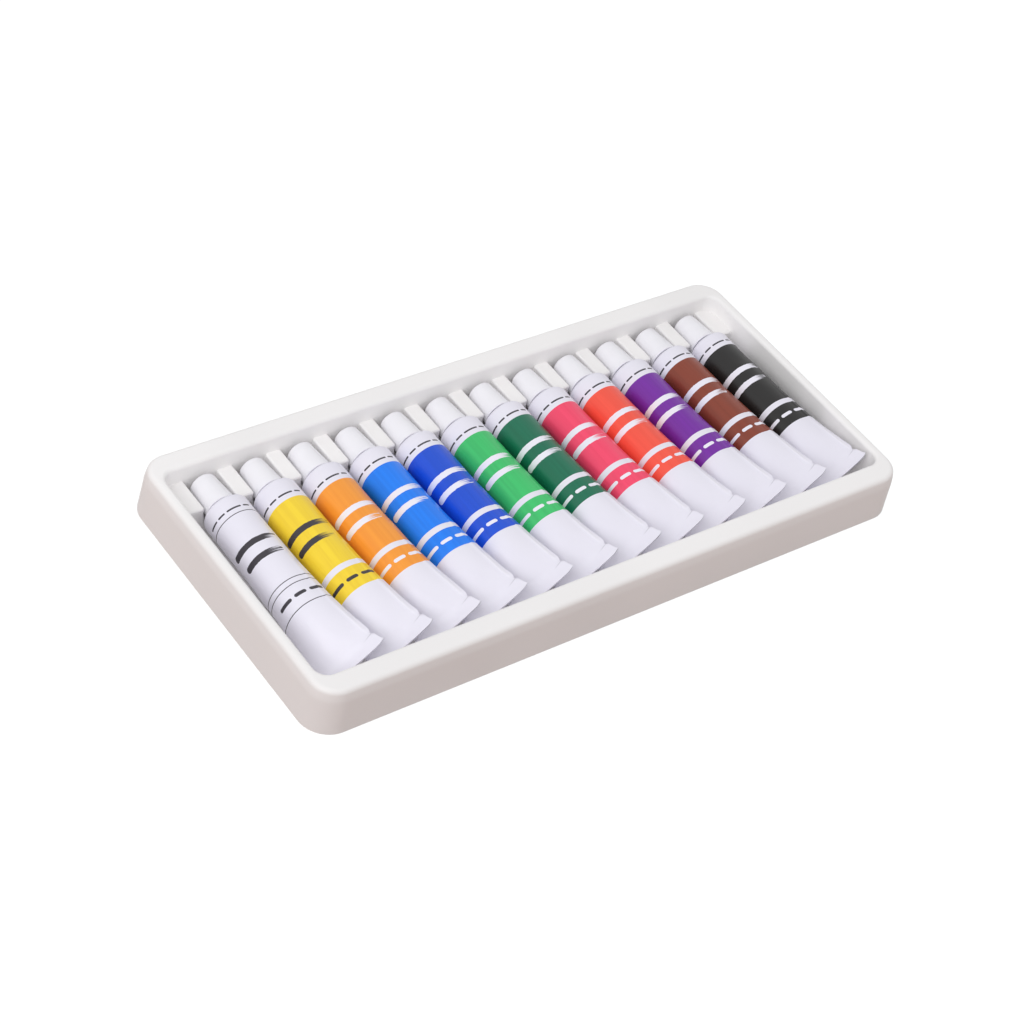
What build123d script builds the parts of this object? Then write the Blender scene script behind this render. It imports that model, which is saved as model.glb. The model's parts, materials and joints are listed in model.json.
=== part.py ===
from build123d import *
import math
import os

# Paint tube set: a thermoformed tray that holds a row of screw-capped tubes of paint.
# Millimetres. X runs along the row of tubes, Y from the crimped ends to the caps, Z up.
# The origin is at the middle of the tray's footprint, on the surface that it stands on.

# Tray
TRAY_LENGTH = 240.0
TRAY_WIDTH = 112.4
TRAY_HEIGHT = 17.5
SHEET = 0.6
CORNER_RADIUS = 10.0
SKIRT_BEND_Z = 13.4
SKIRT_BEND_LEAN = 0.8
SKIRT_TOP_LEAN = 1.6
SKIRT_BEND_RADIUS = 12.0
RIM_OUTER_RADIUS = 2.0
RIM_INNER_RADIUS = 1.4
WELL_HALF_LENGTH = 114.8
WELL_FRONT_Y = -46.7
WELL_BACK_Y = 46.9
WELL_CORNER_RADIUS = 4.5
WALL_DRAFT = 0.06
WELL_FLOOR_RADIUS = 1.6

# Ledge across the back of the well, with a notch for each cap
LEDGE_HEIGHT = 11.1
LEDGE_FRONT_Y = 33.0
LEDGE_EDGE_RADIUS = 0.8
NOTCH_HALF_WIDTH = 6.25

# Row of tubes
TUBE_NAMES = (
    "white", "yellow", "orange", "sky_blue", "royal_blue", "green",
    "dark_green", "pink", "red", "violet", "brown", "black",
)
TUBE_COUNT = len(TUBE_NAMES)
TUBE_PITCH = 18.3
ROW_MIDDLE_X = 1.0
TUBE_RADIUS = 8.0
TUBE_WALL = 0.3
FLOOR_GAP = 0.3
AXIS_HEIGHT = SHEET + FLOOR_GAP + TUBE_RADIUS

# Tube body, along Y
SHOULDER_Y = 29.6
SHOULDER_TOP_Y = 32.2
SHOULDER_TOP_RADIUS = 5.0
SHOULDER_BEAD_RADIUS = 0.9
SHOULDER_THICKNESS = 1.2
CRIMP_TILT = 36.0
CRIMP_HALF_WIDTH = 12.4
CRIMP_THICKNESS = 1.2
CRIMP_START_Y = -37.2
CRIMP_END_Y = -42.0
CRIMP_SHIFT_X = 0.8
CRIMP_SHIFT_Z = 0.1
FLATTENING_POWER = 2.3
BARREL_SECTIONS = 9
HOLLOW_STOP = 1.5

# Neck, cap and the sealing liner in the cap
NECK_ROOT_RADIUS = 3.5
THREAD_RADIUS = 3.9
THREAD_PITCH = 1.5
THREAD_TURNS = 3
THREAD_START = 1.0
NECK_BORE_RADIUS = 2.6
NECK_END_Y = 38.4
CAP_BASE_Y = 32.5
CAP_END_Y = 44.8
CAP_BASE_RADIUS = 5.5
CAP_END_RADIUS = 4.6
CAP_END_ROUND = 0.7
CAP_BORE_RADIUS = 4.15
LINER_RADIUS = 3.95
LINER_THICKNESS = 0.8
LINER_GAP = 0.1
PAINT_GAP = 0.05
PAINT_STOP = 1.0

# Working values: how far cuts run past a face, how far joined solids reach into each other, how near
# a place counts as the same, and where a search by halves ends
OVERCUT = 3.0
OVERLAP = 0.5
NEAR = 0.05
FINE_STEP = 1e-9


def rounded_rectangle(x_low, x_high, y_low, y_high, radius, z):
    """A rounded rectangle's face, level at the height z."""
    middle = Pos((x_low + x_high) / 2, (y_low + y_high) / 2, z)
    return middle * RectangleRounded(x_high - x_low, y_high - y_low, radius)


def pocket(x_half, y_low, y_high, radius, z_low, z_high, z_rim, grow):
    """A drafted pocket whose outline is given at the rim's height, grown by the sheet's offset."""
    faces = []
    for z in (z_low, z_high):
        inset = WALL_DRAFT * (z_rim - z) - grow
        faces.append(rounded_rectangle(
            -x_half + inset, x_half - inset, y_low + inset, y_high - inset, radius - inset, z,
        ))
    return loft(faces, ruled=True)


def edges_where(shape, test):
    """The edges of a shape whose middle passes a test."""
    return [edge for edge in shape.edges() if test(edge @ 0.5)]


def notch(offset):
    """The U-shaped notch for one cap, with a rounded mouth, moved outwards by an offset."""
    half = NOTCH_HALF_WIDTH + offset
    mouth = LEDGE_EDGE_RADIUS - offset
    top = LEDGE_HEIGHT - offset
    lift = mouth * math.sqrt(0.5)
    walls = []
    for side in (-1, 1):
        low = (side * half, AXIS_HEIGHT)
        bend = (side * half, top - mouth)
        middle = (side * (half + mouth - lift), top - mouth + lift)
        lip = (side * (half + mouth), top)
        above = (side * (half + mouth), top + OVERLAP)
        walls.append((low, bend, middle, lip, above))
    left, right = walls
    outline = [
        ThreePointArc(left[0], (0, AXIS_HEIGHT - half), right[0]),
        Line(right[0], right[1]),
        ThreePointArc(right[1], right[2], right[3]),
        Line(right[3], right[4]),
        Line(right[4], left[4]),
        Line(left[4], left[3]),
        ThreePointArc(left[3], left[2], left[1]),
        Line(left[1], left[0]),
    ]
    back_y = WELL_BACK_Y - WALL_DRAFT * (TRAY_HEIGHT - LEDGE_HEIGHT) + offset
    front_y = LEDGE_FRONT_Y + offset - OVERCUT
    face = Plane(origin=(0, back_y, 0), x_dir=(1, 0, 0), z_dir=(0, -1, 0)) * make_face(outline)
    return extrude(face, back_y - front_y)


def skirt_lean(z):
    """How far the skirt leans in at z: a little up to the bend, and more from there to the rim."""
    if z <= SKIRT_BEND_Z:
        return SKIRT_BEND_LEAN * z / SKIRT_BEND_Z
    share = (z - SKIRT_BEND_Z) / (TRAY_HEIGHT - SKIRT_BEND_Z)
    return SKIRT_BEND_LEAN + (SKIRT_TOP_LEAN - SKIRT_BEND_LEAN) * share


def tray_block(offset, top_z):
    """The tray's outside as a solid block: a skirt with a soft bend under a rounded rim."""
    base_z = 0.0 if offset == 0 else -OVERCUT
    outlines = []
    for z in (base_z, SKIRT_BEND_Z, top_z):
        inset = skirt_lean(z) + offset
        x_half = TRAY_LENGTH / 2 - inset
        y_half = TRAY_WIDTH / 2 - inset
        outlines.append(rounded_rectangle(-x_half, x_half, -y_half, y_half, CORNER_RADIUS - inset, z))
    block = loft(outlines, ruled=True)
    block = fillet(edges_where(block, lambda p: abs(p.Z - SKIRT_BEND_Z) < NEAR), SKIRT_BEND_RADIUS - offset)
    return fillet(edges_where(block, lambda p: abs(p.Z - top_z) < NEAR), RIM_OUTER_RADIUS - offset)


def tray_well(offset):
    """The space in the tray: the well, the space above its ledge, and a notch for each cap."""
    ledge_z = LEDGE_HEIGHT - offset
    outline = (WELL_HALF_LENGTH, WELL_FRONT_Y, WELL_BACK_Y, WELL_CORNER_RADIUS)
    upper = pocket(*outline, ledge_z, TRAY_HEIGHT + OVERCUT, TRAY_HEIGHT, offset)
    lower = pocket(*outline, SHEET - offset, ledge_z + OVERLAP, TRAY_HEIGHT, offset)
    behind_ledge = Pos(0, LEDGE_FRONT_Y + offset + TRAY_WIDTH / 2, 0) * Box(
        2 * TRAY_LENGTH, TRAY_WIDTH, 4 * TRAY_HEIGHT,
    )
    well = upper + (lower - behind_ledge)
    for x in tube_places():
        well += Pos(x, 0, 0) * notch(offset)
    return well


def tray_mass(offset):
    """The tray as a solid block with its well, every face moved inwards by an offset."""
    top_z = TRAY_HEIGHT - offset
    floor_z = SHEET - offset
    mass = tray_block(offset, top_z) - tray_well(offset)
    if offset == 0:
        mass = fillet(edges_where(mass, lambda p: (
            abs(p.Y - LEDGE_FRONT_Y) < NEAR
            and SHEET + OVERLAP < p.Z < LEDGE_HEIGHT + NEAR
            and abs(p.X) < WELL_HALF_LENGTH - LEDGE_EDGE_RADIUS
        )), LEDGE_EDGE_RADIUS)
    mass = fillet(edges_where(mass, lambda p: (
        abs(p.Z - floor_z) < NEAR and p.Y < LEDGE_FRONT_Y + 1.0
    )), WELL_FLOOR_RADIUS + offset)
    reach = offset + OVERLAP
    return fillet(edges_where(mass, lambda p: (
        abs(p.Z - top_z) < NEAR
        and abs(p.X) < WELL_HALF_LENGTH + reach
        and WELL_FRONT_Y - reach < p.Y < WELL_BACK_Y + reach
    )), RIM_INNER_RADIUS - offset)


def tube_places():
    """The X of each tube's axis, from the white tube to the black one."""
    first = ROW_MIDDLE_X - TUBE_PITCH * (TUBE_COUNT - 1) / 2
    return [first + TUBE_PITCH * index for index in range(TUBE_COUNT)]


def pressed(y):
    """How far the tube is pressed flat at y: 0 where it is round, 1 where it is folded."""
    return ((SHOULDER_Y - y) / (SHOULDER_Y - CRIMP_START_Y)) ** FLATTENING_POWER


def tilted_plane(y, share):
    """The plane across the tube at y, turned so that its x runs along the crimp."""
    tilt = math.radians(CRIMP_TILT)
    return Plane(
        origin=(CRIMP_SHIFT_X * share, y, AXIS_HEIGHT + CRIMP_SHIFT_Z * share),
        x_dir=(math.cos(tilt), 0, math.sin(tilt)),
        z_dir=(0, -1, 0),
    )


def ellipse_length(a, b):
    """The length round an ellipse, by Ramanujan's formula."""
    return math.pi * (3 * (a + b) - math.sqrt((3 * a + b) * (a + 3 * b)))


def flattened(y, wall):
    """The tube's section at y, which keeps the tube's length round it as it is pressed flat."""
    share = pressed(y)
    half_wide = TUBE_RADIUS + (CRIMP_HALF_WIDTH - TUBE_RADIUS) * share
    half_high = CRIMP_THICKNESS / 2
    step = TUBE_RADIUS
    while step > FINE_STEP:
        step /= 2
        if ellipse_length(half_wide, half_high + step) <= 2 * math.pi * TUBE_RADIUS:
            half_high += step
    return tilted_plane(y, share) * Ellipse(half_wide - wall, half_high - wall)


def tube_barrel(wall, end_y):
    """The tube's body from the shoulder to the crimp, less a wall."""
    step = (SHOULDER_Y - end_y) / (BARREL_SECTIONS - 1)
    places = [SHOULDER_Y - index * step for index in range(BARREL_SECTIONS)]
    return loft([flattened(y, wall) for y in places])


def revolved(points):
    """A solid turned about the tube's axis from points of (radius, y)."""
    outline = make_face(Polyline([(radius, y) for radius, y in points], close=True))
    turned = revolve(outline, Axis.Y, 360)
    return Pos(0, 0, AXIS_HEIGHT) * turned


def thread_points():
    """The neck's outline from the shoulder to its mouth, with the crests of its thread."""
    points = []
    start = SHOULDER_TOP_Y + THREAD_START
    for turn in range(THREAD_TURNS):
        y = start + turn * THREAD_PITCH
        points += [
            (NECK_ROOT_RADIUS, y),
            (THREAD_RADIUS, y + 0.3 * THREAD_PITCH),
            (THREAD_RADIUS, y + 0.5 * THREAD_PITCH),
            (NECK_ROOT_RADIUS, y + 0.8 * THREAD_PITCH),
        ]
    return points


def tube_shell():
    """The tube: one piece from the threaded neck and shoulder to the folded crimp."""
    bead = SHOULDER_BEAD_RADIUS
    head = revolved(
        [(0, SHOULDER_Y - OVERLAP), (TUBE_RADIUS - OVERLAP, SHOULDER_Y - OVERLAP)]
        + [(TUBE_RADIUS, SHOULDER_Y), (TUBE_RADIUS - 0.3 * bead, SHOULDER_Y + 0.7 * bead)]
        + [(TUBE_RADIUS - bead, SHOULDER_Y + bead)]
        + [(SHOULDER_TOP_RADIUS, SHOULDER_TOP_Y), (NECK_ROOT_RADIUS, SHOULDER_TOP_Y)]
        + thread_points()
        + [(NECK_ROOT_RADIUS, NECK_END_Y), (0, NECK_END_Y)]
    )
    crimp_front = CRIMP_START_Y + OVERLAP
    crimp = tilted_plane((crimp_front + CRIMP_END_Y) / 2, 1.0) * Box(
        2 * CRIMP_HALF_WIDTH, CRIMP_THICKNESS, crimp_front - CRIMP_END_Y,
    )
    return tube_barrel(0.0, CRIMP_START_Y) + head + crimp - tube_hollow(TUBE_WALL)


def tube_hollow(wall):
    """The space in the tube, less a wall: the barrel, the shoulder and the neck's bore."""
    barrel = tube_barrel(wall, CRIMP_START_Y + HOLLOW_STOP)
    cone_radius = TUBE_RADIUS - wall - 0.1
    shoulder = revolved([
        (0, SHOULDER_Y - OVERLAP),
        (cone_radius, SHOULDER_Y - OVERLAP),
        (cone_radius, SHOULDER_Y - 0.2),
        (NECK_BORE_RADIUS, SHOULDER_TOP_Y - SHOULDER_THICKNESS),
        (NECK_BORE_RADIUS, NECK_END_Y + OVERCUT),
        (0, NECK_END_Y + OVERCUT),
    ])
    return barrel + shoulder


def paint_fill():
    """The paint that fills the tube up to the neck."""
    space = tube_hollow(TUBE_WALL + PAINT_GAP)
    depth = PAINT_STOP + OVERCUT
    mouth = Pos(0, NECK_END_Y - PAINT_STOP + depth / 2, AXIS_HEIGHT) * Box(
        2 * TUBE_RADIUS, depth, 2 * TUBE_RADIUS,
    )
    return space - mouth


def screw_cap():
    """The smooth tapered cap: open at its base, closed at its outer end."""
    shell = revolved([
        (0, CAP_BASE_Y),
        (CAP_BASE_RADIUS, CAP_BASE_Y),
        (CAP_END_RADIUS, CAP_END_Y),
        (0, CAP_END_Y),
    ])
    shell = fillet(edges_where(shell, lambda p: abs(p.Y - CAP_END_Y) < NEAR), CAP_END_ROUND)
    bore_end = NECK_END_Y + LINER_THICKNESS + 2 * LINER_GAP
    bore = revolved([
        (0, CAP_BASE_Y - OVERCUT),
        (CAP_BORE_RADIUS, CAP_BASE_Y - OVERCUT),
        (CAP_BORE_RADIUS, bore_end),
        (0, bore_end),
    ])
    return shell - bore


def cap_liner():
    """The round liner in the cap that seals the neck's mouth."""
    start = NECK_END_Y + LINER_GAP
    return revolved([
        (0, start),
        (LINER_RADIUS, start),
        (LINER_RADIUS, start + LINER_THICKNESS),
        (0, start + LINER_THICKNESS),
    ])


def main():
    os.makedirs("parts", exist_ok=True)
    tray = tray_mass(0.0) - tray_mass(SHEET)
    export_step(tray, "parts/tray.step")
    pieces = {
        "tube": tube_shell(),
        "paint": paint_fill(),
        "cap": screw_cap(),
        "cap_liner": cap_liner(),
    }
    for index, x in enumerate(tube_places()):
        for kind, piece in pieces.items():
            name = f"{kind}_{index + 1:02d}_{TUBE_NAMES[index]}"
            export_step(Pos(x, 0, 0) * piece, f"parts/{name}.step")


if __name__ == "__main__":
    main()
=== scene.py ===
import json
import math

import bpy
from mathutils import Matrix, Quaternion, Vector

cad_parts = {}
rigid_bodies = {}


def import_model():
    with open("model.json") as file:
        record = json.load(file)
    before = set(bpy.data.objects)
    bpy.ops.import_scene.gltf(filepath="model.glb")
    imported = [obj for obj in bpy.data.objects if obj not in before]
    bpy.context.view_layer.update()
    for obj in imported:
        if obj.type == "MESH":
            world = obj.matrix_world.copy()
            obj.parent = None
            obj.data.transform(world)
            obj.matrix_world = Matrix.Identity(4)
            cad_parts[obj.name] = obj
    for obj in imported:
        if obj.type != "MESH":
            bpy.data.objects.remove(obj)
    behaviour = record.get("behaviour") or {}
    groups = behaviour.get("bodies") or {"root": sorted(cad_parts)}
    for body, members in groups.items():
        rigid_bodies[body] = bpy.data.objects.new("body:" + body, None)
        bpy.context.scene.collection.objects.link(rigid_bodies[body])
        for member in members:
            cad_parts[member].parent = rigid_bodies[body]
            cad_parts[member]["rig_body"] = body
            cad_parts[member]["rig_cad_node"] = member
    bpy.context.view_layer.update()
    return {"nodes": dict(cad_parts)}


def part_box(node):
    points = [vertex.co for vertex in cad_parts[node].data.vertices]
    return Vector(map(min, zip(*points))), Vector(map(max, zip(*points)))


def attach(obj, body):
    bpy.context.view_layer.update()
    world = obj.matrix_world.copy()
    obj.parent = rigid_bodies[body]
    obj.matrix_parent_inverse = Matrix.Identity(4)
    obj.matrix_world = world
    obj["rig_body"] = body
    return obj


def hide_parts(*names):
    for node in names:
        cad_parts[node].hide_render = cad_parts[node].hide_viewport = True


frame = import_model()

bl_info = {
    "name": "Paint tube set",
    "version": (1, 0, 0),
    "blender": (4, 5, 0),
    "location": "3D View > Sidebar > Paint tubes",
    "description": "A moulded tray that holds a row of screw-capped tubes of paint",
    "category": "Add Mesh",
}

MM = 0.001

# The row of tubes, and the first tube's axis, as the frame gives them
TUBES = sorted(name[len("tube_"):] for name in frame["nodes"] if name.startswith("tube_"))


def middle(node):
    """The middle of a node's box at rest."""
    low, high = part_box(node)
    return (low + high) / 2


AXIS_X = {tube: middle("cap_" + tube).x for tube in TUBES}
AXIS_Z = middle("cap_" + TUBES[0]).z
FIRST_X = AXIS_X[TUBES[0]]
CAP_BASE_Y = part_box("cap_" + TUBES[0])[0].y
CAP_END_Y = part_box("cap_" + TUBES[0])[1].y
NECK_END_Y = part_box("tube_" + TUBES[0])[1].y
CRIMP_END_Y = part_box("tube_" + TUBES[0])[0].y

# How much of a tube's end is flat
CRIMP_LENGTH = 6.0 * MM


# Settings that a user would change

def length(name, description, default):
    """A length in metres."""
    return bpy.props.FloatProperty(
        name=name, description=description, default=default, min=0.0, precision=5,
        subtype="DISTANCE", unit="LENGTH",
    )


def place(name, description, default):
    """A place along the tubes, in metres from the tray's middle."""
    return bpy.props.FloatProperty(
        name=name, description=description, default=default, precision=5,
        subtype="DISTANCE", unit="LENGTH",
    )


def colour(name, description, default):
    """A linear colour."""
    return bpy.props.FloatVectorProperty(
        name=name, description=description, default=default, size=3, min=0.0, max=1.0, subtype="COLOR",
    )


class PaintSetSizes(bpy.types.PropertyGroup):
    """The tubes' and caps' sizes."""

    tube_radius: length("Tube radius", "Radius of the round end of a tube", 8.0 * MM)
    tube_wall: length("Tube wall", "Thickness of a tube's wall", 0.3 * MM)
    shoulder: place("Shoulder", "Where a tube's round shoulder starts", 29.6 * MM)
    shoulder_top: place("Shoulder top", "Where the shoulder meets the neck", 32.2 * MM)
    neck_radius: length("Neck radius", "Radius of the neck at the root of its thread", 3.5 * MM)
    neck_bore: length("Neck bore", "Radius of the hole in the neck", 2.6 * MM)
    thread_pitch: length("Thread pitch", "Rise of the thread in one turn", 1.5 * MM)
    crimp_start: place("Crimp start", "Where a tube's flat end starts", CRIMP_END_Y + CRIMP_LENGTH)
    crimp_half_width: length("Crimp half width", "Half the width of the flat end", 12.4 * MM)
    crimp_thickness: length("Crimp thickness", "Thickness of the flat end", 0.7 * MM)
    crimp_tilt: bpy.props.FloatProperty(
        name="Crimp tilt", description="How far the flat end leans from level",
        default=math.radians(36.0), subtype="ANGLE", unit="ROTATION",
    )
    cap_base_radius: length("Cap base radius", "Radius of a cap at its open base", 5.5 * MM)
    cap_end_radius: length("Cap end radius", "Radius of a cap at its closed end", 4.6 * MM)
    cap_bore: length("Cap bore", "Radius of the hole in a cap", 4.15 * MM)
    band_start: place("Band start", "Where the wide band of colour starts, next to the shoulder", 22.5 * MM)
    band_end: place("Band end", "Where the wide band of colour ends", -7.9 * MM)
    stripe: length("Stripe", "Width of the white stripe between the two bands", 2.1 * MM)
    narrow_band: length("Narrow band", "Width of the narrow band of colour", 8.2 * MM)


class PaintSetColours(bpy.types.PropertyGroup):
    """The colours of the plastic, the lacquer and the inks."""

    tray: colour("Tray", "Moulded sheet of the tray", (0.95, 0.932, 0.926))
    cap: colour("Cap", "Moulded plastic of the caps", (0.915, 0.905, 0.945))
    liner: colour("Liner", "Foam disc in each cap", (0.80, 0.80, 0.78))
    lacquer: colour("Lacquer", "White lacquer of the tubes", (0.865, 0.845, 0.935))
    dark_print: colour("Dark print", "Marks on the white and yellow tubes", (0.045, 0.04, 0.05))
    white: colour("White", "Paint in the first tube", (0.90, 0.90, 0.88))
    yellow: colour("Yellow", "Band and paint of the second tube", (0.98, 0.69, 0.037))
    orange: colour("Orange", "Band and paint of the third tube", (1.0, 0.35, 0.042))
    sky_blue: colour("Sky blue", "Band and paint of the fourth tube", (0.010, 0.225, 0.98))
    royal_blue: colour("Royal blue", "Band and paint of the fifth tube", (0.009, 0.085, 0.67))
    green: colour("Green", "Band and paint of the sixth tube", (0.049, 0.56, 0.158))
    dark_green: colour("Dark green", "Band and paint of the seventh tube", (0.006, 0.156, 0.083))
    pink: colour("Pink", "Band and paint of the eighth tube", (1.0, 0.070, 0.160))
    red: colour("Red", "Band and paint of the ninth tube", (1.0, 0.103, 0.063))
    violet: colour("Violet", "Band and paint of the tenth tube", (0.185, 0.021, 0.37))
    brown: colour("Brown", "Band and paint of the eleventh tube", (0.25, 0.049, 0.025))
    black: colour("Black", "Band and paint of the twelfth tube", (0.015, 0.014, 0.014))


def sizes():
    """The sizes as they are set."""
    return bpy.context.scene.paint_set_sizes


def colours():
    """The colours as they are set."""
    return bpy.context.scene.paint_set_colours


def paint_colour(tube):
    """The paint's colour of a tube such as 04_sky_blue."""
    return tuple(getattr(colours(), tube.split("_", 1)[1]))


# Materials

class Link:
    """An output of a material's node. Arithmetic on it adds Math nodes."""

    def __init__(self, graph, socket):
        self.graph = graph
        self.socket = socket

    def math(self, operation, *values):
        return self.graph.node("ShaderNodeMath", {"operation": operation}, dict(enumerate(values)))

    def __add__(self, other):
        return self.math("ADD", self, other)

    __radd__ = __add__

    def __sub__(self, other):
        return self.math("SUBTRACT", self, other)

    def __rsub__(self, other):
        return self.math("SUBTRACT", other, self)

    def __mul__(self, other):
        return self.math("MULTIPLY", self, other)

    __rmul__ = __mul__

    def size(self):
        return self.math("ABSOLUTE", self)

    def at_least(self, other):
        return self.math("MAXIMUM", self, other)

    def root(self):
        return self.math("SQRT", self)

    def rise(self, low, high):
        """0 up to low and 1 from high, with a smooth step between them."""
        inputs = {"Value": self, "From Min": low, "From Max": high}
        return self.graph.node("ShaderNodeMapRange", {"interpolation_type": "SMOOTHSTEP"}, inputs, "Result")


class Graph:
    """The nodes of a material or of the world."""

    def __init__(self, owner, shader="Principled BSDF"):
        owner.use_nodes = True
        self.owner = owner
        self.nodes = owner.node_tree.nodes
        self.links = owner.node_tree.links
        self.shader = self.nodes[shader]
        self.here = self.node("ShaderNodeTexCoord", output="Object")

    def node(self, kind, settings=None, inputs=None, output=0):
        """Adds a node, sets its settings, then its inputs, and gives one of its outputs."""
        made = self.nodes.new(kind)
        for key, value in (settings or {}).items():
            setattr(made, key, value)
        for key, value in (inputs or {}).items():
            self.feed(made.inputs[key], value)
        return Link(self, made.outputs[output])

    def feed(self, socket, value):
        """Links a socket to a node's output, or sets it to a plain value."""
        if isinstance(value, Link):
            self.links.new(value.socket, socket)
        else:
            socket.default_value = value

    def split(self, vector):
        """The three parts of a vector."""
        parts = self.node("ShaderNodeSeparateXYZ", inputs={"Vector": vector})
        return [Link(self, parts.socket.node.outputs[index]) for index in range(3)]

    def stretched(self, x, y, z):
        """The place on the piece, stretched along each direction."""
        inputs = {"Vector": self.here, "Scale": (x, y, z)}
        return self.node("ShaderNodeMapping", {"vector_type": "POINT"}, inputs)

    def noise(self, scale, detail, where=None):
        """A cloudy value between 0 and 1."""
        inputs = {"Vector": where or self.here, "Scale": scale, "Detail": detail, "Roughness": 0.5}
        return self.node("ShaderNodeTexNoise", {"noise_dimensions": "3D"}, inputs, "Fac")

    def blend(self, factor, first, second):
        """A colour between two colours."""
        inputs = {0: factor, 6: solid(first), 7: solid(second)}
        return self.node("ShaderNodeMix", {"data_type": "RGBA"}, inputs, 2)

    def seen(self):
        """1 for what the camera, a reflection or a clear piece shows, 0 for light that falls on things."""
        kinds = ("Camera", "Glossy", "Transmission")
        rays = [self.node("ShaderNodeLightPath", output=f"Is {kind} Ray") for kind in kinds]
        return rays[0].at_least(rays[1]).at_least(rays[2])

    def bump(self, height, strength, distance, below=None):
        """A normal that a height presses in or out, on top of another normal."""
        inputs = {"Height": height, "Strength": strength, "Distance": distance}
        if below is not None:
            inputs["Normal"] = below
        return self.node("ShaderNodeBump", inputs=inputs)

    def finish(self, **values):
        """Sets the shader's own sockets, with _ in place of the space in a name."""
        for key, value in values.items():
            self.feed(self.shader.inputs[key.replace("_", " ")], solid(value))
        return self.owner


def solid(value):
    """A colour with its alpha added, and anything else as it is."""
    if isinstance(value, (tuple, list)) and len(value) == 3:
        return (*value, 1.0)
    return value


def material(name):
    """A new material's nodes."""
    return Graph(bpy.data.materials.new(name))


def shade(value, share):
    """A colour made darker or lighter."""
    return tuple(min(1.0, part * share) for part in value)


def tray_plastic():
    """Thin formed sheet: satin and a little cloudy, with a faint orange peel and soft waves."""
    g = material("tray_plastic")
    base = tuple(colours().tray)
    cloud = g.noise(14.0, 2.0)
    speck = g.noise(900.0, 2.0)
    thin = g.blend(cloud.rise(0.35, 0.7), shade(base, 0.975), shade(base, 1.02))
    peel = g.bump(g.noise(1400.0, 2.0), 0.10, 0.05 * MM)
    wave = g.bump(g.noise(45.0, 1.0), 0.35, 0.25 * MM, peel)
    return g.finish(
        Base_Color=thin, Roughness=0.36 + 0.10 * cloud + 0.05 * speck, Normal=wave,
        Specular_IOR_Level=0.45,
    )


def cap_plastic():
    """Smooth moulded plastic with a soft shine and the finest drag lines along the draw."""
    g = material("cap_plastic")
    base = tuple(colours().cap)
    cloud = g.noise(160.0, 2.0)
    drag = g.noise(1.0, 3.0, g.stretched(3200.0, 140.0, 3200.0))
    tone = g.blend(cloud, shade(base, 0.97), shade(base, 1.02))
    normal = g.bump(drag, 0.08, 0.04 * MM, g.bump(g.noise(700.0, 1.0), 0.10, 0.05 * MM))
    return g.finish(Base_Color=tone, Roughness=0.30 + 0.12 * cloud, Normal=normal)


def liner_foam():
    """Fine closed-cell foam."""
    g = material("liner_foam")
    base = tuple(colours().liner)
    inputs = {"Vector": g.here, "Scale": 2600.0}
    cells = g.node("ShaderNodeTexVoronoi", {"feature": "DISTANCE_TO_EDGE"}, inputs)
    tone = g.blend(cells.rise(0.02, 0.2), shade(base, 0.85), base)
    return g.finish(Base_Color=tone, Roughness=0.85, Normal=g.bump(cells, 0.5, 0.06 * MM))


def wet_paint(tube):
    """Thick paint, wet and a little streaked."""
    g = material("paint_" + tube)
    base = paint_colour(tube)
    swirl = g.noise(500.0, 4.0, g.stretched(1.0, 0.3, 1.0))
    tone = g.blend(swirl.rise(0.35, 0.7), shade(base, 0.85), shade(base, 1.1))
    return g.finish(Base_Color=tone, Roughness=0.18 + 0.12 * swirl, Normal=g.bump(swirl, 0.3, 0.1 * MM))


def between(value, low, high, soft):
    """1 between two limits, with soft edges."""
    return value.rise(low - soft, low + soft) * (1.0 - value.rise(high - soft, high + soft))


def bar(around, along, centre, half_length, half_height, soft):
    """A round-ended bar printed round the tube, with its centre at (around, along)."""
    past = ((around - centre[0]).size() - (half_length - half_height)).at_least(0.0)
    off = along - centre[1]
    away = (past * past + off * off).root()
    return 1.0 - away.rise(half_height - soft, half_height + soft)


# How soft the print's edges are, and half the width of the white tube's lines
PRINT_EDGE = 0.05 * MM
LINE_HALF = 0.15 * MM

# The tubes whose marks are dark
DARK_MARKED = ("_white", "_yellow")

# Where a tube's pressed right edge lies round the girth, from the top, and the fold that runs to it, painted
# as a dark line of shade
SEAL_EDGE_AROUND = 7.3 * MM
FOLD_START_AROUND = 1.5 * MM
FOLD_PAST = 0.6 * MM
FOLD_SLOPE = 0.22
FOLD_HALF = 0.16 * MM

# How far each label lies toward its cap, in mm, as the tubes were printed a little unevenly
LABEL_SHIFT = (0.3, -0.9, -0.3, 0.0, 0.5, -0.3, 0.7, -0.2, 0.3, 0.0, 0.9, 0.9)

# The brush strokes printed in the wide band, in mm:
# (centre around and from the band's start, half length, half height)
STROKES = (
    ((-3.4, -12.2), 9.4, 1.1),
    ((-3.9, -18.3), 7.6, 1.1),
)

# How unsteady a stroke's edge is, and where its tail runs dry
STROKE_WOBBLE = 0.35 * MM
BRISTLE_LENGTH = 5.0 * MM
DRY_START = 3.2 * MM
DRY_END = 1.6 * MM

# The dashes printed in the narrow band: (centre around, half length), in mm
BAND_DASHES = ((-8.2, 2.6), (-2.6, 1.9), (3.2, 2.8))
DASH_HALF_HEIGHT = 0.62 * MM

# The dashes printed on the white collar: (centre around, half length), in mm
COLLAR_DASHES = ((-10.6, 2.1), (-6.3, 1.4), (-1.5, 2.6), (3.2, 1.3))
COLLAR_HALF_HEIGHT = 0.32 * MM
COLLAR_LINE = 2.3 * MM

# The painted highlight along the ridge of the pressed edge, a lighter line: its place round the girth, and
# where it ends
RIDGE_HIGHLIGHT = (3.1 * MM, 4.2 * MM)
RIDGE_HIGHLIGHT_END = -23.0 * MM

# Where the small dents of the pressed part begin to fade, and where they are gone
DENTED_TO = -32.0 * MM
UNDENTED_FROM = -18.0 * MM

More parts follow.
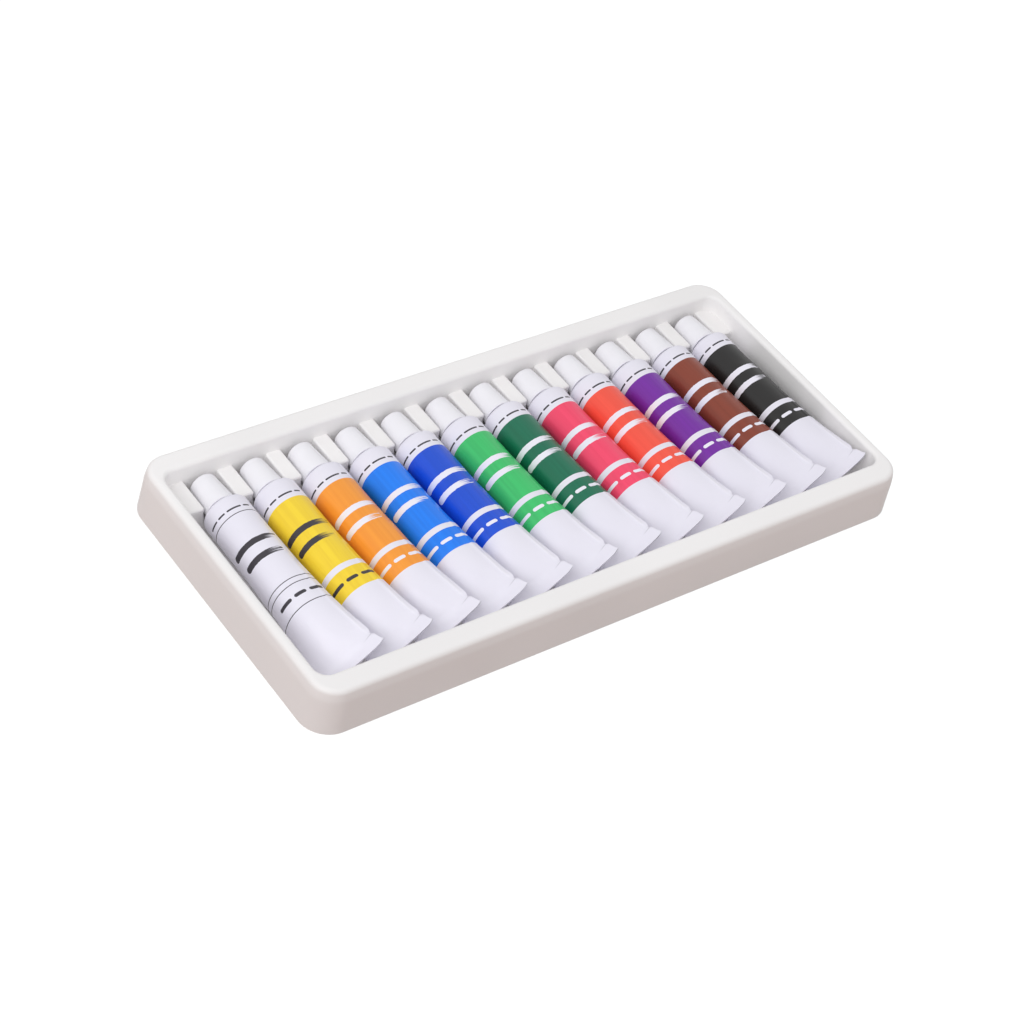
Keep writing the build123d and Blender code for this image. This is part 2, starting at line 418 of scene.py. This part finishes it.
# The crease near the shoulder: its place round the girth and along the tube
CREASE_AROUND = (-4.9 * MM, -4.7 * MM)
CREASE_ALONG = (13.5 * MM, 21.0 * MM)


def printed_marks(g, tube, around, along):
    """Where a tube's bands, its marks and its collar's dashes are printed. The white tube has no bands."""
    s = sizes()
    narrow_start = s.band_end - s.stripe
    narrow_end = narrow_start - s.narrow_band
    bands = None
    marks = None
    if tube.endswith("_white"):
        for place_y in (s.band_start, s.band_end, narrow_start, narrow_end):
            line = between(along, place_y - LINE_HALF, place_y + LINE_HALF, PRINT_EDGE)
            marks = line if marks is None else marks.at_least(line)
    else:
        bands = between(along, s.band_end, s.band_start, PRINT_EDGE)
        bands = bands.at_least(between(along, narrow_end, narrow_start, PRINT_EDGE))

    rough_along = along + (g.noise(900.0, 2.0) - 0.5) * STROKE_WOBBLE
    for centre, half_length, half_height in STROKES:
        place_at = (centre[0] * MM, s.band_start + centre[1] * MM)
        stroke = bar(around, rough_along, place_at, half_length * MM, half_height * MM, PRINT_EDGE)
        bristle = g.noise(1.0, 2.0, g.stretched(160.0, 2600.0, 160.0))
        tip = (centre[0] + half_length) * MM
        tail = (around + bristle * BRISTLE_LENGTH).rise(tip - DRY_START, tip + DRY_END)
        stroke = stroke * (1.0 - tail * bristle.rise(0.36, 0.52))
        marks = stroke if marks is None else marks.at_least(stroke)
    for centre, half in BAND_DASHES:
        place_at = (centre * MM, (narrow_start + narrow_end) / 2)
        marks = marks.at_least(bar(around, along, place_at, half * MM, DASH_HALF_HEIGHT, PRINT_EDGE))

    collar = None
    for centre, half in COLLAR_DASHES:
        place_at = (centre * MM, s.band_start + COLLAR_LINE)
        dash = bar(around, along, place_at, half * MM, COLLAR_HALF_HEIGHT, PRINT_EDGE)
        collar = dash if collar is None else collar.at_least(dash)
    return bands, marks, collar


def printed_tube(tube):
    """White lacquer with two printed bands, brush strokes and dashes, and the pressed end, with painted
    reflection streaks in the bands, a painted highlight on the edge's ridge and painted shade in its fold.
    """
    g = material("print_" + tube)
    s = sizes()
    lacquer = tuple(colours().lacquer)
    dark = tuple(colours().dark_print)
    ink = paint_colour(tube)
    around = g.split(g.node("ShaderNodeUVMap", {"uv_map": "print"}))[0]
    down_tube = g.split(g.here)[1]
    along = down_tube - LABEL_SHIFT[TUBES.index(tube)] * MM
    bands, marks, collar = printed_marks(g, tube, around, along)

    fine = g.noise(1.0, 3.0, g.stretched(420.0, 38.0, 420.0))
    handled = g.noise(120.0, 3.0)
    tone = lacquer
    if bands is not None:
        # Lengthwise lighter and darker streaks in the ink: painted reflection, standing in for the glossy
        # streaks of a slightly wrinkled surface
        drawn = g.noise(1.0, 2.0, g.stretched(640.0, 16.0, 640.0)).rise(0.3, 0.7)
        tone = g.blend(bands, tone, g.blend(drawn, shade(ink, 0.94), shade(ink, 1.06)))
    tone = g.blend(marks, tone, dark if tube.endswith(DARK_MARKED) else shade(lacquer, 1.06))
    tone = g.blend(collar, tone, dark)

    # A lighter line of painted highlight along the ridge of the pressed edge
    ridge = between(around, *RIDGE_HIGHLIGHT, 0.4 * MM)
    ridge = ridge * between(down_tube, s.crimp_start + 0.4 * MM, RIDGE_HIGHLIGHT_END, 2.0 * MM)
    # A dark line of painted shade along the fold that runs to the seal's edge
    fold_y = s.crimp_start - FOLD_PAST + (around - SEAL_EDGE_AROUND) * FOLD_SLOPE
    fold_shade = between(down_tube - fold_y, -FOLD_HALF, FOLD_HALF, FOLD_HALF)
    fold_shade = fold_shade * between(around, FOLD_START_AROUND, SEAL_EDGE_AROUND, 1.6 * MM)
    tone = g.blend(ridge * 0.6, tone, shade(lacquer, 1.09))
    tone = g.blend(fold_shade * 0.7, tone, shade(lacquer, 0.72))

    dents = g.noise(190.0, 1.0) * (1.0 - down_tube.rise(DENTED_TO, UNDENTED_FROM))
    crease = between(around, *CREASE_AROUND, 0.1 * MM)
    crease = crease * between(down_tube, *CREASE_ALONG, 1.2 * MM)
    normal = g.bump(g.noise(1500.0, 2.0), 0.06, 0.04 * MM)
    normal = g.bump(fine, 0.22, 0.16 * MM, normal)
    normal = g.bump(dents, 0.5, 0.6 * MM, normal)
    normal = g.bump(crease, -0.8, 0.12 * MM, normal)
    return g.finish(
        Base_Color=tone, Roughness=0.29 + 0.12 * handled + 0.08 * fine, Normal=normal,
        Coat_Weight=0.1, Coat_Roughness=0.2, Specular_IOR_Level=0.36,
    )


# Modelling by hand

def alone():
    """Leaves edit mode and deselects everything."""
    if bpy.context.object is not None and bpy.context.object.mode != "OBJECT":
        bpy.ops.object.mode_set(mode="OBJECT")
    bpy.ops.object.select_all(action="DESELECT")


def pick(piece):
    """Selects one object alone and makes it the active one."""
    alone()
    piece.select_set(True)
    bpy.context.view_layer.objects.active = piece


def settle(piece):
    """Puts the object's place, turn and scale into its mesh."""
    pick(piece)
    bpy.ops.object.transform_apply(location=True, rotation=True, scale=True)


def draw_rings(name, rings, segments):
    """A closed shape drawn out ring by ring along Y. Each ring is (x, y, z, half width, half height)."""
    alone()
    x, y, z, wide, high = rings[0]
    bpy.ops.mesh.primitive_circle_add(
        vertices=segments, radius=1.0, fill_type="NGON", location=(x, y, z), rotation=(math.pi / 2, 0, 0),
    )
    piece = bpy.context.object
    piece.name = name
    piece.scale = (wide, high, 1.0)
    settle(piece)
    bpy.ops.object.mode_set(mode="EDIT")
    bpy.ops.mesh.select_mode(type="EDGE")
    bpy.ops.mesh.select_all(action="SELECT")
    for ring, before in zip(rings[1:], rings):
        shift = [new - old for new, old in zip(ring[:3], before[:3])]
        bpy.ops.mesh.extrude_edges_move(TRANSFORM_OT_translate={"value": shift})
        grow = (ring[3] / before[3], 1.0, ring[4] / before[4])
        bpy.ops.transform.resize(value=grow, center_override=ring[:3])
    bpy.ops.mesh.edge_face_add()
    bpy.ops.mesh.select_all(action="SELECT")
    bpy.ops.mesh.normals_make_consistent(inside=False)
    bpy.ops.object.mode_set(mode="OBJECT")
    return piece


def turned(x, z, points):
    """Round rings on an axis along Y, from points of (radius, y)."""
    return [(x, y, z, radius, radius) for radius, y in points]


def modifier(piece, kind, **settings):
    """Adds a modifier, sets it and applies it."""
    pick(piece)
    bpy.ops.object.modifier_add(type=kind)
    added = piece.modifiers[-1]
    for key, value in settings.items():
        setattr(added, key, value)
    bpy.ops.object.modifier_apply(modifier=added.name)


def copy_of(piece, name, shift=(0, 0, 0)):
    """A copy with its own mesh, moved."""
    pick(piece)
    bpy.ops.object.duplicate(linked=False)
    made = bpy.context.object
    made.name = name
    made.data.name = name
    bpy.ops.transform.translate(value=shift)
    settle(made)
    return made


def smooth(piece, degrees=35.0):
    """Shades an object smooth, apart from edges sharper than this."""
    pick(piece)
    bpy.ops.object.shade_smooth_by_angle(angle=math.radians(degrees))


def dress(piece, look):
    """Gives an object one material."""
    piece.data.materials.clear()
    piece.data.materials.append(look)


def delete(piece):
    """Takes a pattern away once its copies are made."""
    pick(piece)
    bpy.ops.object.delete()


# The tray

class AddTray(bpy.types.Operator):
    """Adds the tray: the formed sheet, merged and smoothed over its rounded edges"""

    bl_idname = "paint_set.add_tray"
    bl_label = "Add tray"

    def execute(self, context):
        piece = copy_of(frame["nodes"]["tray"], "moulded_tray")
        bpy.ops.object.parent_clear(type="CLEAR_KEEP_TRANSFORM")
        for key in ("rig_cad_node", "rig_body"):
            del piece[key]
        bpy.ops.mesh.customdata_custom_splitnormals_clear()
        bpy.ops.object.mode_set(mode="EDIT")
        bpy.ops.mesh.select_all(action="SELECT")
        bpy.ops.mesh.remove_doubles(threshold=0.002 * MM)
        bpy.ops.object.mode_set(mode="OBJECT")
        smooth(piece, 40.0)
        modifier(piece, "WEIGHTED_NORMAL", keep_sharp=True, weight=80)
        dress(piece, tray_plastic())
        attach(piece, "tray")
        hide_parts("tray")
        return {"FINISHED"}


# The tubes

# Points in each ring of a tube, of its paint and of its cap
SEGMENTS = 96
PAINT_SEGMENTS = 48
CAP_SEGMENTS = 72

# How a tube goes from round to flat: how late it flattens and widens, how far the flat part bows and thins
FLATTENING_POWER = 2.3
WIDENING_POWER = 1.35
BOW = 0.5 * MM
PRESSED_THINNER = 0.62

# The seal: the run over which it folds, how square its edge is, and how it and its right corner flare
SEAL_RUN = 4.2 * MM
SEAL_EDGE = 0.35
SEAL_FLARE = 1.2 * MM
CORNER_FLARE = 0.5 * MM
CORNER_ROUND = 0.9 * MM

# How far the flat end lies off the tube's axis, across and up
CRIMP_SHIFT = 0.8 * MM
CRIMP_RISE = 0.1 * MM

# The pinch in both edges, next to the seal, and from what share of the half width it starts
PINCH_PLACE = -0.6 * MM
PINCH_LENGTH = 0.8 * MM
PINCH_DEPTH = 0.7 * MM
PINCH_IN = 0.6 * MM
PINCH_START = 0.72

# The soft ridge along the right edge: its place and width, as shares of the half width, and its height
RIDGE_PLACE = 0.88
RIDGE_WIDTH = 0.05
RIDGE_HEIGHT = 0.4 * MM

# Where the ridge rises, as shares of the pressing, and where it ends, from the crimp's start
RIDGE_RISES = (0.05, 0.3)
RIDGE_ENDS = (0.3 * MM, 1.6 * MM)

# The neck's thread
THREAD_TURNS = 2.6
THREAD_STEPS = 150
THREAD_START = 0.9 * MM
THREAD_ROOT = 0.1 * MM
THREAD_HEIGHT = 0.4 * MM
THREAD_FLANK = 0.35 * MM
THREAD_WIDTH = 1.0 * MM

# The dents of handling: name, spread and depth, in mm, and the runs over which they fade in and out
DENTS = (("wide_dents", 13.0, 0.55), ("small_dents", 4.5, 0.16))
DENT_FADE = 14.0 * MM
SEAL_FADE = 5.0 * MM


def ramp(value, low, high):
    """0 up to low and 1 from high, with a smooth step between them."""
    share = max(0.0, min(1.0, (value - low) / (high - low)))
    return share * share * (3 - 2 * share)


def pressed(y):
    """How far a tube is pressed flat at y, from 0 at the shoulder to 1 at the crimp."""
    s = sizes()
    run = (s.shoulder - y) / (s.shoulder - s.crimp_start)
    return max(0.0, min(1.0, run)) ** FLATTENING_POWER


def sealed(y):
    """How far a tube is folded into its seal at y, from 0 at the crimp's start to 1 in the seal."""
    return ramp(sizes().crimp_start - y, 0.0, SEAL_RUN)


def flared(y):
    """How far along its flat end y is, from 0 where it starts to 1 at its edge."""
    s = sizes()
    return max(0.0, (s.crimp_start - y) / (s.crimp_start - CRIMP_END_Y))


def girth_height(wide, girth):
    """Half the height of an ellipse of a given half width and length round it."""
    high = sizes().crimp_thickness / 2
    step = sizes().tube_radius
    while step > 0.0001 * MM:
        step /= 2
        a, b = wide, high + step
        if math.pi * (3 * (a + b) - math.sqrt((3 * a + b) * (a + 3 * b))) <= girth:
            high += step
    return high


def section(y, wall=0.0):
    """A tube's ring at y, before its tilt: an ellipse with the round tube's girth, thinner near the crimp."""
    s = sizes()
    share = pressed(y)
    wide = s.tube_radius + (s.crimp_half_width - SEAL_FLARE - s.tube_radius) * share ** WIDENING_POWER
    wide += SEAL_FLARE * flared(y)
    high = girth_height(wide, 2 * math.pi * s.tube_radius) * (1 - PRESSED_THINNER * share ** 4)
    high += (s.crimp_thickness / 2 - high) * sealed(y)
    shift_x, shift_z = crimp_shift(share)
    return (FIRST_X + shift_x, y, AXIS_Z + shift_z, wide - wall, high - wall)


def crimp_shift(share):
    """How far the pressed part lies off the tube's axis, before it is tilted."""
    tilt = sizes().crimp_tilt
    across, up = CRIMP_SHIFT * share, CRIMP_RISE * share
    return across * math.cos(tilt) + up * math.sin(tilt), up * math.cos(tilt) - across * math.sin(tilt)


def steps(start, end, count):
    """Evenly spaced values from start to end, one more than count."""
    return [start + (end - start) * index / count for index in range(count + 1)]


def tube_rings():
    """The rings of a tube, from the inside of its crimp up to the neck and back down outside."""
    s = sizes()
    top, neck, bore, end = s.shoulder_top, s.neck_radius, s.neck_bore, NECK_END_Y
    start = s.shoulder
    inside = [section(y, s.tube_wall) for y in steps(s.crimp_start + 1.5 * MM, start - 0.5 * MM, 20)]
    head_inside = [
        (s.tube_radius - 0.55 * MM, start - 0.2 * MM),
        (bore + 0.25 * MM, top - 1.25 * MM),
        (bore, top - 0.95 * MM),
        (bore, (top + end) / 2),
        (bore, end - 0.25 * MM),
    ]
    mouth = [
        (bore + 0.08 * MM, end - 0.06 * MM),
        (bore + 0.25 * MM, end),
        (neck - 0.25 * MM, end),
        (neck - 0.08 * MM, end - 0.06 * MM),
        (neck, end - 0.25 * MM),
    ]
    neck_outside = [
        (neck, (top + end) / 2),
        (neck, top + 0.4 * MM),
        (neck + 0.12 * MM, top + 0.12 * MM),
        (neck + 0.4 * MM, top),
    ]
    shoulder_top = [
        (5.0 * MM, top),
        (5.3 * MM, top - 0.16 * MM),
        (6.75 * MM, start + 1.2 * MM),
    ]
    groove_and_bead = [
        (6.92 * MM, start + 1.0 * MM),
        (7.02 * MM, start + 0.72 * MM),
        (7.12 * MM, start + 0.74 * MM),
        (7.22 * MM, start + 1.02 * MM),
        (7.45 * MM, start + 1.08 * MM),
        (7.72 * MM, start + 0.92 * MM),
        (7.92 * MM, start + 0.52 * MM),
    ]
    head = turned(FIRST_X, AXIS_Z, head_inside + mouth + neck_outside + shoulder_top + groove_and_bead)
    barrel = [section(y) for y in steps(start, s.crimp_start + 4.0 * MM, 46)]
    pressed_end = [section(y) for y in steps(s.crimp_start + 3.5 * MM, s.crimp_start, 9)]
    crimp = [section(y) for y in steps(s.crimp_start - 0.3 * MM, CRIMP_END_Y + 0.15 * MM, 14)]
    crimp.append(section(CRIMP_END_Y, 0.12 * MM))
    return inside + head + barrel + pressed_end + crimp


def paint_rings():
    """The rings of the paint in a tube, a little inside the tube's wall."""
    s = sizes()
    inset = s.tube_wall + 0.1 * MM
    barrel = [section(y, inset) for y in steps(s.crimp_start + 2.4 * MM, s.shoulder - 0.8 * MM, 34)]
    bore = s.neck_bore - 0.08 * MM
    head = turned(FIRST_X, AXIS_Z, [
        (s.tube_radius - 0.8 * MM, s.shoulder - 0.5 * MM),
        (bore + 0.3 * MM, s.shoulder_top - 1.5 * MM),
        (bore, s.shoulder_top - 1.1 * MM),
        (bore, NECK_END_Y - 1.2 * MM),
        (bore - 0.5 * MM, NECK_END_Y - 1.0 * MM),
        (0.3 * bore, NECK_END_Y - 0.85 * MM),
    ])
    return barrel + head


def press(piece):
    """Presses the drawn tube: pointed edges, a seal with a flared corner, a ridge, a pinch and its tilt."""
    s = sizes()
    for vertex in piece.data.vertices:
        y = vertex.co.y
        share, seal = pressed(y), sealed(y)
        x_middle, _, z_middle, wide, high = section(y)
        across = (vertex.co.x - x_middle) / wide
        rise = vertex.co.z - z_middle
        side = math.copysign(1.0, rise)
        level = min(1.0, abs(rise) / high)
        rise = side * high * level ** ((1 + share) * (1 - seal) + SEAL_EDGE * seal)
        past = y - s.crimp_start
        edge = max(0.0, abs(across) - PINCH_START) / (1 - PINCH_START)
        pinch = math.exp(-((past - PINCH_PLACE) / PINCH_LENGTH) ** 2) * edge * edge
        rise += BOW * share ** 3 * across * across - PINCH_DEPTH * pinch
        if side > 0:
            ridge = ramp(share, *RIDGE_RISES) * ramp(past, *RIDGE_ENDS)
            rise += RIDGE_HEIGHT * ridge * math.exp(-((across - RIDGE_PLACE) / RIDGE_WIDTH) ** 2)
        right = max(0.0, across)
        vertex.co.x += CORNER_FLARE * flared(y) ** 2 * right ** 4 - math.copysign(PINCH_IN, across) * pinch
        vertex.co.y += CORNER_ROUND * flared(y) ** 6 * right ** 12
        vertex.co.z = z_middle + rise
    to_axis = Matrix.Translation((FIRST_X, 0, AXIS_Z))
    lean = Matrix.Rotation(-s.crimp_tilt, 4, "Y")
    piece.data.transform(to_axis @ lean @ to_axis.inverted())


def unroll(piece):
    """Gives a tube its print map: metres round the girth from the top towards +X, and metres along."""
    girth = 2 * math.pi * sizes().tube_radius
    lean = sizes().crimp_tilt / (2 * math.pi)
    mesh = piece.data
    layer = mesh.uv_layers.new(name="print")
    for polygon in mesh.polygons:
        turns = []
        for loop in polygon.loop_indices:
            share = (mesh.loops[loop].vertex_index % SEGMENTS) / SEGMENTS
            turns.append((-share - lean + 0.5) % 1.0 - 0.5)
        if max(turns) - min(turns) > 0.5:
            turns = [turn + 1.0 if turn < 0 else turn for turn in turns]
        for loop, turn in zip(polygon.loop_indices, turns):
            vertex = mesh.vertices[mesh.loops[loop].vertex_index]
            layer.data[loop].uv = (turn * girth, vertex.co.y)


def add_thread():
    """The neck's thread: a ridge drawn round the neck in a right-hand helix."""
    s = sizes()
    alone()
    start = s.shoulder_top + THREAD_START
    inner, outer = s.neck_radius - THREAD_ROOT, s.neck_radius + THREAD_HEIGHT
    bpy.ops.mesh.primitive_plane_add(size=1.0, location=(0, 0, 0))
    ridge = bpy.context.object
    ridge.name = "thread_ridge"
    corners = {
        (-1, -1): (inner, 0.0),
        (1, -1): (outer, THREAD_FLANK),
        (1, 1): (outer, THREAD_WIDTH - THREAD_FLANK),
        (-1, 1): (inner, THREAD_WIDTH),
    }
    for vertex in ridge.data.vertices:
        radius, up = corners[(round(2 * vertex.co.x), round(2 * vertex.co.y))]
        vertex.co = (radius, start + up, 0.0)
    modifier(
        ridge, "SCREW", axis="Y", angle=2 * math.pi * THREAD_TURNS,
        screw_offset=s.thread_pitch * THREAD_TURNS,
        steps=THREAD_STEPS, render_steps=THREAD_STEPS, use_merge_vertices=False,
    )
    ridge.data.transform(Matrix.Translation((FIRST_X, 0, AXIS_Z)))
    pick(ridge)
    bpy.ops.object.mode_set(mode="EDIT")
    bpy.ops.mesh.select_all(action="SELECT")
    bpy.ops.mesh.normals_make_consistent(inside=False)
    bpy.ops.object.mode_set(mode="OBJECT")
    return ridge


def dent(piece):
    """Handles a tube: shallow dents in the soft metal, none at the shoulder."""
    group = piece.vertex_groups.new(name="soft")
    s = sizes()
    for vertex in piece.data.vertices:
        y = vertex.co.y
        fade = min(1.0, max(0.0, (s.shoulder - 1.0 * MM - y) / DENT_FADE))
        near_seal = min(1.0, max(0.0, (y - s.crimp_start + 1.0 * MM) / SEAL_FADE))
        group.add([vertex.index], fade * (0.35 + 0.65 * near_seal), "REPLACE")
    for name, spread, depth in DENTS:
        texture = bpy.data.textures.get(name) or bpy.data.textures.new(name, "CLOUDS")
        texture.noise_scale = spread * MM
        texture.noise_depth = 1
        modifier(
            piece, "DISPLACE", texture=texture, texture_coords="LOCAL", direction="Z",
            strength=depth * MM, mid_level=0.5, vertex_group="soft",
        )
    piece.vertex_groups.remove(piece.vertex_groups["soft"])


class AddTubes(bpy.types.Operator):
    """Adds the tubes: threaded neck, shoulder, printed barrel and pressed, tilted end"""

    bl_idname = "paint_set.add_tubes"
    bl_label = "Add tubes"

    def execute(self, context):
        pattern = draw_rings("tube_pattern", tube_rings(), SEGMENTS)
        press(pattern)
        unroll(pattern)
        ridge = add_thread()
        ridge.select_set(True)
        pattern.select_set(True)
        bpy.context.view_layer.objects.active = pattern
        bpy.ops.object.join()
        for tube in TUBES:
            piece = copy_of(pattern, "printed_tube_" + tube, (AXIS_X[tube] - FIRST_X, 0, 0))
            dent(piece)
            smooth(piece)
            dress(piece, printed_tube(tube))
            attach(piece, "filled_tube_" + tube)
            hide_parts("tube_" + tube)
        delete(pattern)
        return {"FINISHED"}


# The caps and what they and the tubes hold

# The rounding of a cap's closed end
CAP_CORNER = 0.75 * MM
CAP_CORNER_STEPS = 6

# The shallow dish in the middle of that end: (radius, depth), in mm
CAP_DISH = ((3.3, 0.03), (2.2, 0.12), (1.0, 0.18), (0.25, 0.2))


def cap_rings():
    """The rings of a cap, from the bottom of its bore out to its base, up its side and over its end."""
    s = sizes()
    base, end, bore = s.cap_base_radius, s.cap_end_radius, s.cap_bore
    bore_end = NECK_END_Y + 1.0 * MM
    start, stop = CAP_BASE_Y, CAP_END_Y
    points = [
        (0.4 * bore, bore_end),
        (bore - 0.2 * MM, bore_end),
        (bore, bore_end - 0.2 * MM),
        (bore, start + 0.6 * MM),
        (bore + 0.25 * MM, start + 0.12 * MM),
        (bore + 0.45 * MM, start),
        (base - 0.25 * MM, start),
        (base - 0.07 * MM, start + 0.07 * MM),
        (base, start + 0.25 * MM),
    ]
    for share in (0.25, 0.5, 0.75):
        y = start + share * (stop - CAP_CORNER - start)
        points.append((base + share * (end - base), y))
    for angle in steps(0.0, math.pi / 2, CAP_CORNER_STEPS):
        inward, back = 1 - math.cos(angle), 1 - math.sin(angle)
        points.append((end - CAP_CORNER * inward, stop - CAP_CORNER * back))
    for radius, sink in CAP_DISH:
        points.append((radius * MM, stop - sink * MM))
    return turned(FIRST_X, AXIS_Z, points)


class AddCaps(bpy.types.Operator):
    """Adds the smooth, slightly tapered screw caps"""

    bl_idname = "paint_set.add_caps"
    bl_label = "Add caps"

    def execute(self, context):
        pattern = draw_rings("cap_pattern", cap_rings(), CAP_SEGMENTS)
        plastic = cap_plastic()
        for tube in TUBES:
            piece = copy_of(pattern, "moulded_cap_" + tube, (AXIS_X[tube] - FIRST_X, 0, 0))
            smooth(piece)
            dress(piece, plastic)
            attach(piece, "screw_cap_" + tube)
            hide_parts("cap_" + tube)
        delete(pattern)
        return {"FINISHED"}


class AddFillings(bpy.types.Operator):
    """Adds the paint in the tubes and finishes the liner in each cap"""

    bl_idname = "paint_set.add_fillings"
    bl_label = "Add fillings"

    def execute(self, context):
        pattern = draw_rings("paint_pattern", paint_rings(), PAINT_SEGMENTS)
        press(pattern)
        foam = liner_foam()
        for tube in TUBES:
            piece = copy_of(pattern, "paint_fill_" + tube, (AXIS_X[tube] - FIRST_X, 0, 0))
            dent(piece)
            smooth(piece)
            dress(piece, wet_paint(tube))
            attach(piece, "filled_tube_" + tube)
            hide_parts("paint_" + tube)
            "paint_" + tube.split("_", 1)[1]
            dress(frame["nodes"]["cap_liner_" + tube], foam)
        delete(pattern)
        return {"FINISHED"}


# The stage

# The floor: the warm colour that it throws back onto the object, and the glow that makes it look white
FLOOR_SIZE = 6.0
FLOOR_COLOUR = (0.21, 0.07, 0.03)
FLOOR_GLOW = (0.87, 1.0, 1.03)

# The lamp
LAMP_PLACE = (-1.0, -0.34, 0.85)
LAMP_SIZE = 0.9
LAMP_POWER = 5.8
LAMP_TINT = (0.98, 0.985, 1.0)

# The room's light at the horizon and overhead, and the sine of the height from which it is even
HORIZON_LIGHT = (0.48, 0.48, 0.483)
OVERHEAD_LIGHT = (0.76, 0.76, 0.765)
OVERHEAD_FROM = 0.8
WHITE = (1.0, 1.0, 1.0)

# The camera, at the place and with the lens that give the photograph's view
CAMERA_PLACE = Vector((-469.6, -433.83, 587.54)) * MM
CAMERA_AIM = Vector((-6.48, -0.9, 0.0)) * MM
CAMERA_LENS = 92.08
CAMERA_SENSOR = 36.0
CAMERA_ROLL = math.radians(16.008)


def floor_paint():
    """A floor that looks white and throws its warm colour back onto the object."""
    g = material("floor")
    glow = g.blend(g.seen(), (0, 0, 0), FLOOR_GLOW)
    return g.finish(Base_Color=FLOOR_COLOUR, Roughness=0.9, Emission_Color=glow, Emission_Strength=1.0)


def add_room():
    """The room's soft light, stronger from overhead, which looks white."""
    world = bpy.data.worlds.new("room")
    bpy.context.scene.world = world
    g = Graph(world, "Background")
    height = g.split(g.node("ShaderNodeTexCoord", output="Generated"))[2]
    sky = g.blend(height.rise(0.0, OVERHEAD_FROM), HORIZON_LIGHT, OVERHEAD_LIGHT)
    g.finish(Color=g.blend(g.seen(), sky, WHITE), Strength=1.0)


def add_lamp():
    """A round soft lamp that points at the middle of the object."""
    alone()
    bpy.ops.object.light_add(type="AREA", location=LAMP_PLACE)
    lamp = bpy.context.object
    lamp.name = "soft_window"
    lamp.data.shape = "DISK"
    lamp.data.size = LAMP_SIZE
    lamp.data.energy = LAMP_POWER
    lamp.data.color = LAMP_TINT
    lamp.rotation_euler = (-Vector(LAMP_PLACE)).to_track_quat("-Z", "Y").to_euler()


def add_camera():
    """A camera at the photograph's viewing angle."""
    bpy.ops.object.camera_add(location=CAMERA_PLACE)
    camera = bpy.context.object
    camera.name = "camera"
    camera.data.lens = CAMERA_LENS
    camera.data.sensor_width = CAMERA_SENSOR
    roll = Quaternion((0, 0, 1), CAMERA_ROLL)
    look = (CAMERA_AIM - CAMERA_PLACE).to_track_quat("-Z", "Y")
    camera.rotation_euler = (look @ roll).to_euler()
    bpy.context.scene.camera = camera


class AddStage(bpy.types.Operator):
    """Adds the floor, the soft light and the camera"""

    bl_idname = "paint_set.add_stage"
    bl_label = "Add stage"

    def execute(self, context):
        alone()
        bpy.ops.mesh.primitive_plane_add(size=FLOOR_SIZE, location=(0, 0, 0))
        floor = context.object
        floor.name = "floor"
        dress(floor, floor_paint())
        add_lamp()
        add_room()
        add_camera()
        context.scene.view_settings.view_transform = "Standard"
        return {"FINISHED"}


class PaintSetPanel(bpy.types.Panel):
    """Lists the pieces, sizes and colours of the paint tube set"""

    bl_idname = "VIEW3D_PT_paint_set"
    bl_label = "Paint tube set"
    bl_space_type = "VIEW_3D"
    bl_region_type = "UI"
    bl_category = "Paint tubes"

    def draw(self, context):
        column = self.layout.column()
        for operator in OPERATORS:
            column.operator(operator.bl_idname)
        for group in (context.scene.paint_set_sizes, context.scene.paint_set_colours):
            box = self.layout.box()
            for key in group.__annotations__:
                box.prop(group, key)


OPERATORS = (AddTray, AddTubes, AddCaps, AddFillings, AddStage)
CLASSES = (PaintSetSizes, PaintSetColours, *OPERATORS, PaintSetPanel)


def register():
    for kind in CLASSES:
        bpy.utils.register_class(kind)
    bpy.types.Scene.paint_set_sizes = bpy.props.PointerProperty(type=PaintSetSizes)
    bpy.types.Scene.paint_set_colours = bpy.props.PointerProperty(type=PaintSetColours)


def unregister():
    del bpy.types.Scene.paint_set_colours
    del bpy.types.Scene.paint_set_sizes
    for kind in reversed(CLASSES):
        bpy.utils.unregister_class(kind)


def main():
    register()
    bpy.ops.paint_set.add_tray()
    bpy.ops.paint_set.add_tubes()
    bpy.ops.paint_set.add_caps()
    bpy.ops.paint_set.add_fillings()
    bpy.ops.paint_set.add_stage()
    alone()


if __name__ == "__main__":
    main()
